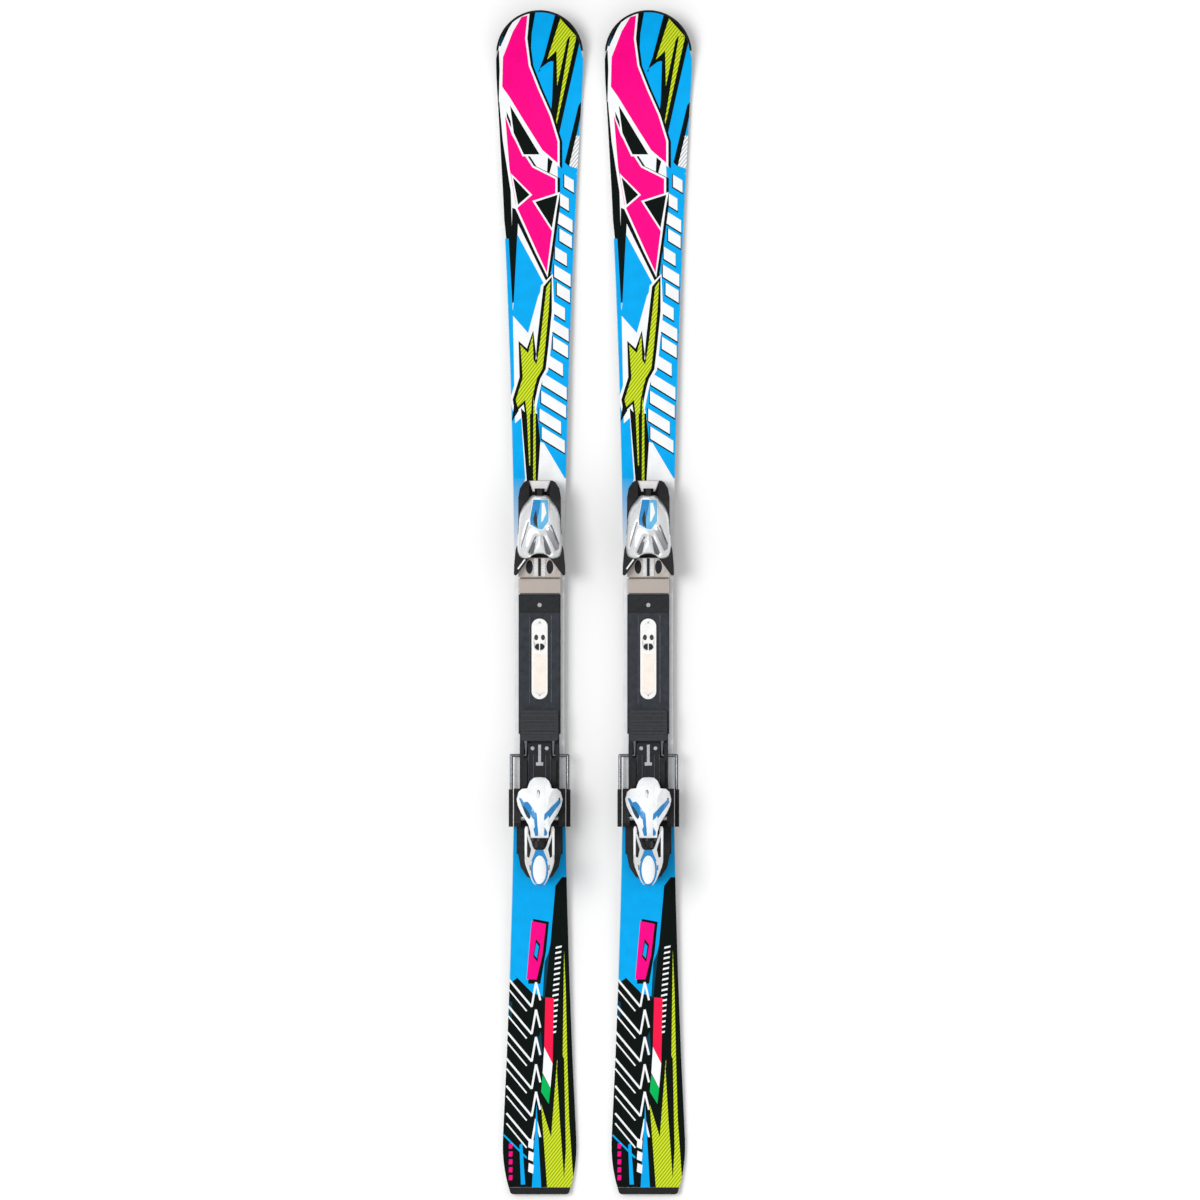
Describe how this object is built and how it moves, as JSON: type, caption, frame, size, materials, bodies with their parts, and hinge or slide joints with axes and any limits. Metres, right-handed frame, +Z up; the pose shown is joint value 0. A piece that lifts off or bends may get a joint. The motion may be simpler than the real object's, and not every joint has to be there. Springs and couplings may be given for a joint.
{
  "type": "pair of alpine skis with bindings",
  "caption": "Pair of sidecut alpine skis with plates, step-in toe and heel pieces, ski brakes and sliding heel tracks.",
  "frame": {"origin": "midway between the two skis, midway from tail to tip, on the surface that the running bases lie on", "axes": "+X across from the left ski to the right one, +Y towards the tips, +Z up from the running bases"},
  "size_m": [0.2718, 1.645, 0.1246],
  "materials": {
    "running_base": "sintered polyethylene, stone-ground",
    "edge_steel": "ground steel",
    "sidewall": "milled phenolic sidewall",
    "wood_core": "laminated poplar and beech strips",
    "laminate": "rolled aluminium sheet",
    "topsheet": "printed gloss sheet with a coloured pattern",
    "end_guard": "moulded black plastic",
    "plate_metal": "bead-blasted aluminium",
    "screw_steel": "zinc-plated steel",
    "cover_plastic": "fine-textured black plastic",
    "window_plastic": "white gloss plastic",
    "binding_black": "glass-filled black plastic",
    "housing_silver": "cast magnesium, bright silver lacquer",
    "wing_black": "black plastic over steel",
    "spring_steel": "oiled spring steel",
    "setting_screw_black": "black oxide steel",
    "nut_brass": "turned brass",
    "afd_metal": "pressed stainless steel",
    "pedal_plastic": "ribbed black plastic",
    "wire_steel": "bent bright steel wire",
    "brake_tip_plastic": "black plastic",
    "housing_white": "gloss white moulding with blue stripes",
    "lever_blue": "gloss blue and white moulding"
  },
  "bodies": {
    "left_ski": {"left_running_base": "running_base", "left_steel_edges": "edge_steel", "left_sidewalls": "sidewall", "left_wood_core": "wood_core", "left_metal_laminates": "laminate", "left_topsheet": "topsheet", "left_end_guards": "end_guard", "left_interface_plate": "plate_metal", "left_fasteners": "screw_steel", "left_center_cover": "cover_plastic", "left_scale_window": "window_plastic", "left_toe_base": "binding_black", "left_toe_housing": "housing_silver", "left_toe_spring": "spring_steel"},
    "left_toe_wing_left": {"left_toe_wing_left": "wing_black"},
    "left_toe_wing_right": {"left_toe_wing_right": "wing_black"},
    "left_afd_plate": {"left_afd_plate": "afd_metal"},
    "left_toe_setting_screw": {"left_toe_setting_screw": "setting_screw_black"},
    "left_toe_setting_nut": {"left_toe_setting_nut": "nut_brass"},
    "left_heel_carriage": {"left_heel_carriage": "binding_black", "left_heel_pins": "screw_steel"},
    "left_length_screw": {"left_length_screw": "screw_steel"},
    "left_heel_housing": {"left_heel_housing": "housing_white", "left_heel_spring": "spring_steel"},
    "left_heel_lever": {"left_heel_lever": "lever_blue"},
    "left_heel_setting_screw": {"left_heel_setting_screw": "setting_screw_black"},
    "left_heel_setting_nut": {"left_heel_setting_nut": "nut_brass"},
    "left_brake": {"left_brake_arms": "wire_steel", "left_brake_pedal": "pedal_plastic", "left_brake_tips": "brake_tip_plastic"},
    "right_ski": {"right_running_base": "running_base", "right_steel_edges": "edge_steel", "right_sidewalls": "sidewall", "right_wood_core": "wood_core", "right_metal_laminates": "laminate", "right_topsheet": "topsheet", "right_end_guards": "end_guard", "right_interface_plate": "plate_metal", "right_fasteners": "screw_steel", "right_center_cover": "cover_plastic", "right_scale_window": "window_plastic", "right_toe_base": "binding_black", "right_toe_housing": "housing_silver", "right_toe_spring": "spring_steel"},
    "right_toe_wing_left": {"right_toe_wing_left": "wing_black"},
    "right_toe_wing_right": {"right_toe_wing_right": "wing_black"},
    "right_afd_plate": {"right_afd_plate": "afd_metal"},
    "right_toe_setting_screw": {"right_toe_setting_screw": "setting_screw_black"},
    "right_toe_setting_nut": {"right_toe_setting_nut": "nut_brass"},
    "right_heel_carriage": {"right_heel_carriage": "binding_black", "right_heel_pins": "screw_steel"},
    "right_length_screw": {"right_length_screw": "screw_steel"},
    "right_heel_housing": {"right_heel_housing": "housing_white", "right_heel_spring": "spring_steel"},
    "right_heel_lever": {"right_heel_lever": "lever_blue"},
    "right_heel_setting_screw": {"right_heel_setting_screw": "setting_screw_black"},
    "right_heel_setting_nut": {"right_heel_setting_nut": "nut_brass"},
    "right_brake": {"right_brake_arms": "wire_steel", "right_brake_pedal": "pedal_plastic", "right_brake_tips": "brake_tip_plastic"}
  },
  "joints": [
    {"name": "right_ski_slide", "type": "slide", "parent": "left_ski", "child": "right_ski", "axis": [0, 1, 0], "range_m": [-0.35, 0.35]},
    {"name": "left_toe_wing_left_open", "type": "hinge", "parent": "left_ski", "child": "left_toe_wing_left", "pos_m": [-0.0965, 0.088, 0.056], "axis": [0, 0, -1], "range_deg": [0, 35], "stiffness_Nm_per_rad": 0.4},
    {"name": "left_toe_wing_right_open", "type": "hinge", "parent": "left_ski", "child": "left_toe_wing_right", "pos_m": [-0.0545, 0.088, 0.056], "axis": [0, 0, 1], "range_deg": [0, 35], "stiffness_Nm_per_rad": 0.4},
    {"name": "left_afd_slide", "type": "slide", "parent": "left_ski", "child": "left_afd_plate", "axis": [1, 0, 0], "range_m": [-0.005, 0.005], "stiffness_N_per_m": 200},
    {"name": "left_toe_screw_turn", "type": "hinge", "parent": "left_ski", "child": "left_toe_setting_screw", "pos_m": [-0.0755, 0.154, 0.056], "axis": [0, 1, 0], "range_deg": [-721, 721]},
    {"name": "left_toe_nut_slide", "type": "slide", "parent": "left_ski", "child": "left_toe_setting_nut", "axis": [0, 1, 0], "range_m": [-0.003, 0.003], "deforming": ["left_toe_spring"]},
    {"name": "left_heel_carriage_slide", "type": "slide", "parent": "left_ski", "child": "left_heel_carriage", "axis": [0, 1, 0], "range_m": [-0.01, 0.01]},
    {"name": "left_length_screw_turn", "type": "hinge", "parent": "left_heel_carriage", "child": "left_length_screw", "pos_m": [-0.0755, -0.38, 0.033], "axis": [0, 1, 0], "range_deg": [-1801, 1801]},
    {"name": "left_heel_housing_open", "type": "hinge", "parent": "left_heel_carriage", "child": "left_heel_housing", "pos_m": [-0.0755, -0.3, 0.056], "axis": [1, 0, 0], "range_deg": [0, 35]},
    {"name": "left_heel_lever_tilt", "type": "hinge", "parent": "left_heel_housing", "child": "left_heel_lever", "pos_m": [-0.0755, -0.316, 0.084], "axis": [1, 0, 0], "range_deg": [0, 9]},
    {"name": "left_heel_screw_turn", "type": "hinge", "parent": "left_heel_housing", "child": "left_heel_setting_screw", "pos_m": [-0.0755, -0.33, 0.072], "axis": [0, 1, 0], "range_deg": [-721, 721]},
    {"name": "left_heel_nut_slide", "type": "slide", "parent": "left_heel_housing", "child": "left_heel_setting_nut", "axis": [0, 1, 0], "range_m": [-0.002, 0.002], "deforming": ["left_heel_spring"]},
    {"name": "left_brake_swing", "type": "hinge", "parent": "left_heel_carriage", "child": "left_brake", "pos_m": [-0.0755, -0.213, 0.0335], "axis": [1, 0, 0], "range_deg": [0, 55]},
    {"name": "right_toe_wing_left_open", "type": "hinge", "parent": "right_ski", "child": "right_toe_wing_left", "pos_m": [0.0545, 0.088, 0.056], "axis": [0, 0, -1], "range_deg": [0, 35], "stiffness_Nm_per_rad": 0.4},
    {"name": "right_toe_wing_right_open", "type": "hinge", "parent": "right_ski", "child": "right_toe_wing_right", "pos_m": [0.0965, 0.088, 0.056], "axis": [0, 0, 1], "range_deg": [0, 35], "stiffness_Nm_per_rad": 0.4},
    {"name": "right_afd_slide", "type": "slide", "parent": "right_ski", "child": "right_afd_plate", "axis": [1, 0, 0], "range_m": [-0.005, 0.005], "stiffness_N_per_m": 200},
    {"name": "right_toe_screw_turn", "type": "hinge", "parent": "right_ski", "child": "right_toe_setting_screw", "pos_m": [0.0755, 0.154, 0.056], "axis": [0, 1, 0], "range_deg": [-721, 721]},
    {"name": "right_toe_nut_slide", "type": "slide", "parent": "right_ski", "child": "right_toe_setting_nut", "axis": [0, 1, 0], "range_m": [-0.003, 0.003], "deforming": ["right_toe_spring"]},
    {"name": "right_heel_carriage_slide", "type": "slide", "parent": "right_ski", "child": "right_heel_carriage", "axis": [0, 1, 0], "range_m": [-0.01, 0.01]},
    {"name": "right_length_screw_turn", "type": "hinge", "parent": "right_heel_carriage", "child": "right_length_screw", "pos_m": [0.0755, -0.38, 0.033], "axis": [0, 1, 0], "range_deg": [-1801, 1801]},
    {"name": "right_heel_housing_open", "type": "hinge", "parent": "right_heel_carriage", "child": "right_heel_housing", "pos_m": [0.0755, -0.3, 0.056], "axis": [1, 0, 0], "range_deg": [0, 35]},
    {"name": "right_heel_lever_tilt", "type": "hinge", "parent": "right_heel_housing", "child": "right_heel_lever", "pos_m": [0.0755, -0.316, 0.084], "axis": [1, 0, 0], "range_deg": [0, 9]},
    {"name": "right_heel_screw_turn", "type": "hinge", "parent": "right_heel_housing", "child": "right_heel_setting_screw", "pos_m": [0.0755, -0.33, 0.072], "axis": [0, 1, 0], "range_deg": [-721, 721]},
    {"name": "right_heel_nut_slide", "type": "slide", "parent": "right_heel_housing", "child": "right_heel_setting_nut", "axis": [0, 1, 0], "range_m": [-0.002, 0.002], "deforming": ["right_heel_spring"]},
    {"name": "right_brake_swing", "type": "hinge", "parent": "right_heel_carriage", "child": "right_brake", "pos_m": [0.0755, -0.213, 0.0335], "axis": [1, 0, 0], "range_deg": [0, 55]}
  ],
  "couplings": [
    {"joint": "left_toe_screw_turn", "follows": "left_toe_nut_slide", "rad_per_m": 4188.8},
    {"joint": "left_length_screw_turn", "follows": "left_heel_carriage_slide", "rad_per_m": 3141.6},
    {"joint": "left_heel_lever_tilt", "follows": "left_heel_housing_open", "ratio": 0.25},
    {"joint": "left_heel_screw_turn", "follows": "left_heel_nut_slide", "rad_per_m": 6283.2},
    {"joint": "right_toe_screw_turn", "follows": "right_toe_nut_slide", "rad_per_m": 4188.8},
    {"joint": "right_length_screw_turn", "follows": "right_heel_carriage_slide", "rad_per_m": 3141.6},
    {"joint": "right_heel_lever_tilt", "follows": "right_heel_housing_open", "ratio": 0.25},
    {"joint": "right_heel_screw_turn", "follows": "right_heel_nut_slide", "rad_per_m": 6283.2}
  ]
}
